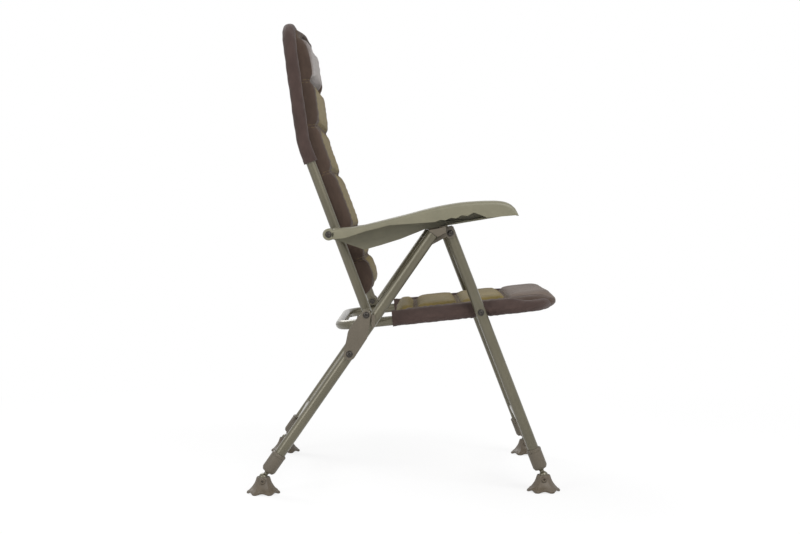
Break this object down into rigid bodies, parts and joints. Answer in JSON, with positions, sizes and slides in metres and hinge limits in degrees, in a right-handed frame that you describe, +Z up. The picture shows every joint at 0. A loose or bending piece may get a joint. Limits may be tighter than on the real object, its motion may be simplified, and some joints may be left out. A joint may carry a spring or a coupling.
{
  "type": "folding reclining fishing chair",
  "caption": "Folding reclining fishing chair with padded seat and back, pillow, sliding armrests, folding A-frame legs, telescopic feet on swivels and lever clamps.",
  "frame": {"origin": "on the floor, in the middle of the box round the chair at rest", "axes": "+Z up; the sitter faces -Y; the sitter's left hand is at +X"},
  "size_m": [0.643, 0.7129, 1.0757],
  "materials": {
    "frame_paint": "semi-gloss olive-grey coat",
    "arm_moulding": "satin moulded plastic",
    "fitting_moulding": "fine-grained moulded plastic",
    "foot_moulding": "fine-grained moulded plastic",
    "bolt_steel": "blackened steel",
    "pad_cloth": "brushed woven cloth, quilted",
    "edge_cloth": "brushed woven cloth",
    "pillow_cloth": "soft fleece"
  },
  "bodies": {
    "seat": {"seat_frame": "frame_paint", "seat_pad": "pad_cloth", "seat_sleeve_right": "edge_cloth", "seat_sleeve_left": "edge_cloth"},
    "front_legs": {"front_leg_right": "frame_paint", "front_leg_left": "frame_paint", "front_crossbar": "frame_paint", "front_collar_right": "fitting_moulding", "front_collar_left": "fitting_moulding", "front_lever_pin_right": "bolt_steel", "front_lever_pin_left": "bolt_steel", "front_leg_cap_right": "fitting_moulding", "front_leg_cap_left": "fitting_moulding", "seat_bolt_right": "bolt_steel", "seat_bolt_left": "bolt_steel", "seat_spacer_right": "fitting_moulding", "seat_spacer_left": "fitting_moulding"},
    "rear_legs": {"rear_leg_right": "frame_paint", "rear_leg_left": "frame_paint", "rear_crossbar": "frame_paint", "rear_collar_right": "fitting_moulding", "rear_collar_left": "fitting_moulding", "rear_lever_pin_right": "bolt_steel", "rear_lever_pin_left": "bolt_steel", "apex_bracket_right": "fitting_moulding", "apex_bracket_left": "fitting_moulding", "apex_bolt_right": "bolt_steel", "apex_bolt_left": "bolt_steel", "link_stop_right": "fitting_moulding", "link_stop_left": "fitting_moulding"},
    "links": {"link_plate_right": "fitting_moulding", "link_plate_left": "fitting_moulding", "link_head_bolt_right": "bolt_steel", "link_head_bolt_left": "bolt_steel", "link_bolt_right": "bolt_steel", "link_bolt_left": "bolt_steel"},
    "hinge_bolts": {"hinge_bolt_right": "bolt_steel", "hinge_bolt_left": "bolt_steel"},
    "back": {"back_frame": "frame_paint", "back_panel": "edge_cloth", "back_pad": "pad_cloth", "back_sleeve": "edge_cloth", "pillow": "pillow_cloth"},
    "arm_bolts": {"arm_bolt_right": "bolt_steel", "arm_bolt_left": "bolt_steel"},
    "armrests": {"armrest_right": "arm_moulding", "armrest_left": "arm_moulding"},
    "rear_inner_leg_right": {"rear_inner_leg_right": "frame_paint"},
    "rear_lever_right": {"rear_lever_right": "fitting_moulding"},
    "rear_foot_right": {"rear_foot_right": "foot_moulding"},
    "rear_inner_leg_left": {"rear_inner_leg_left": "frame_paint"},
    "rear_lever_left": {"rear_lever_left": "fitting_moulding"},
    "rear_foot_left": {"rear_foot_left": "foot_moulding"},
    "front_inner_leg_right": {"front_inner_leg_right": "frame_paint"},
    "front_lever_right": {"front_lever_right": "fitting_moulding"},
    "front_foot_right": {"front_foot_right": "foot_moulding"},
    "front_inner_leg_left": {"front_inner_leg_left": "frame_paint"},
    "front_lever_left": {"front_lever_left": "fitting_moulding"},
    "front_foot_left": {"front_foot_left": "foot_moulding"}
  },
  "joints": [
    {"name": "fold", "type": "hinge", "parent": "seat", "child": "front_legs", "pos_m": [0, -0.1743, 0.409], "axis": [1, 0, 0], "range_deg": [0, 90]},
    {"name": "apex", "type": "hinge", "parent": "front_legs", "child": "rear_legs", "pos_m": [0, -0.1047, 0.589], "axis": [-1, 0, 0], "range_deg": [0, 53.67]},
    {"name": "link_turn", "type": "hinge", "parent": "rear_legs", "child": "links", "pos_m": [0, 0.1224, 0.318], "axis": [-1, 0, 0], "range_deg": [0, 142.98]},
    {"name": "back_fold", "type": "hinge", "parent": "seat", "child": "hinge_bolts", "pos_m": [0, 0.0844, 0.406], "axis": [1, 0, 0], "range_deg": [0, 84], "deforming": ["back_pad"]},
    {"name": "recline", "type": "hinge", "parent": "hinge_bolts", "child": "back", "pos_m": [0, 0.0844, 0.406], "axis": [-1, 0, 0], "range_deg": [0, 36]},
    {"name": "arm_fold", "type": "hinge", "parent": "back", "child": "arm_bolts", "pos_m": [0, 0.1685, 0.58635], "axis": [-1, 0, 0], "range_deg": [0, 78.5]},
    {"name": "arm_recline", "type": "hinge", "parent": "arm_bolts", "child": "armrests", "pos_m": [0, 0.1685, 0.58635], "axis": [1, 0, 0], "range_deg": [0, 25.6]},
    {"name": "rear_slide_right", "type": "slide", "parent": "rear_legs", "child": "rear_inner_leg_right", "axis": [0, 0.5707, -0.8211], "range_m": [0, 0.1]},
    {"name": "rear_lever_turn_right", "type": "hinge", "parent": "rear_legs", "child": "rear_lever_right", "pos_m": [-0.2636, 0.2853, 0.08363], "axis": [0, -0.8211, -0.5707], "range_deg": [0, 100]},
    {"name": "rear_foot_tilt_right", "type": "hinge", "parent": "rear_inner_leg_right", "child": "rear_foot_right", "pos_m": [-0.2841, 0.3184, 0.036], "axis": [1, 0, 0], "range_deg": [-15, 15]},
    {"name": "rear_slide_left", "type": "slide", "parent": "rear_legs", "child": "rear_inner_leg_left", "axis": [0, 0.5707, -0.8211], "range_m": [0, 0.1]},
    {"name": "rear_lever_turn_left", "type": "hinge", "parent": "rear_legs", "child": "rear_lever_left", "pos_m": [0.2636, 0.2853, 0.08363], "axis": [0, 0.8211, 0.5707], "range_deg": [0, 100]},
    {"name": "rear_foot_tilt_left", "type": "hinge", "parent": "rear_inner_leg_left", "child": "rear_foot_left", "pos_m": [0.2841, 0.3184, 0.036], "axis": [1, 0, 0], "range_deg": [-15, 15]},
    {"name": "front_slide_right", "type": "slide", "parent": "front_legs", "child": "front_inner_leg_right", "axis": [0, -0.3606, -0.9327], "range_m": [0, 0.1]},
    {"name": "front_lever_turn_right", "type": "hinge", "parent": "front_legs", "child": "front_lever_right", "pos_m": [-0.2336, -0.29761, 0.0901], "axis": [0, -0.9327, 0.3606], "range_deg": [0, 100]},
    {"name": "front_foot_tilt_right", "type": "hinge", "parent": "front_inner_leg_right", "child": "front_foot_right", "pos_m": [-0.2541, -0.31853, 0.036], "axis": [1, 0, 0], "range_deg": [-15, 15]},
    {"name": "front_slide_left", "type": "slide", "parent": "front_legs", "child": "front_inner_leg_left", "axis": [0, -0.3606, -0.9327], "range_m": [0, 0.1]},
    {"name": "front_lever_turn_left", "type": "hinge", "parent": "front_legs", "child": "front_lever_left", "pos_m": [0.2336, -0.29761, 0.0901], "axis": [0, 0.9327, -0.3606], "range_deg": [0, 100]},
    {"name": "front_foot_tilt_left", "type": "hinge", "parent": "front_inner_leg_left", "child": "front_foot_left", "pos_m": [0.2541, -0.31853, 0.036], "axis": [1, 0, 0], "range_deg": [-15, 15]}
  ],
  "couplings": [
    {"joint": "apex", "follows": "fold", "ratio": 0.59633},
    {"joint": "link_turn", "follows": "fold", "ratio": 1.5887},
    {"joint": "back_fold", "follows": "fold", "ratio": 0.93333},
    {"joint": "arm_fold", "follows": "fold", "ratio": 0.87222},
    {"joint": "arm_recline", "follows": "recline", "ratio": 0.71111}
  ]
}
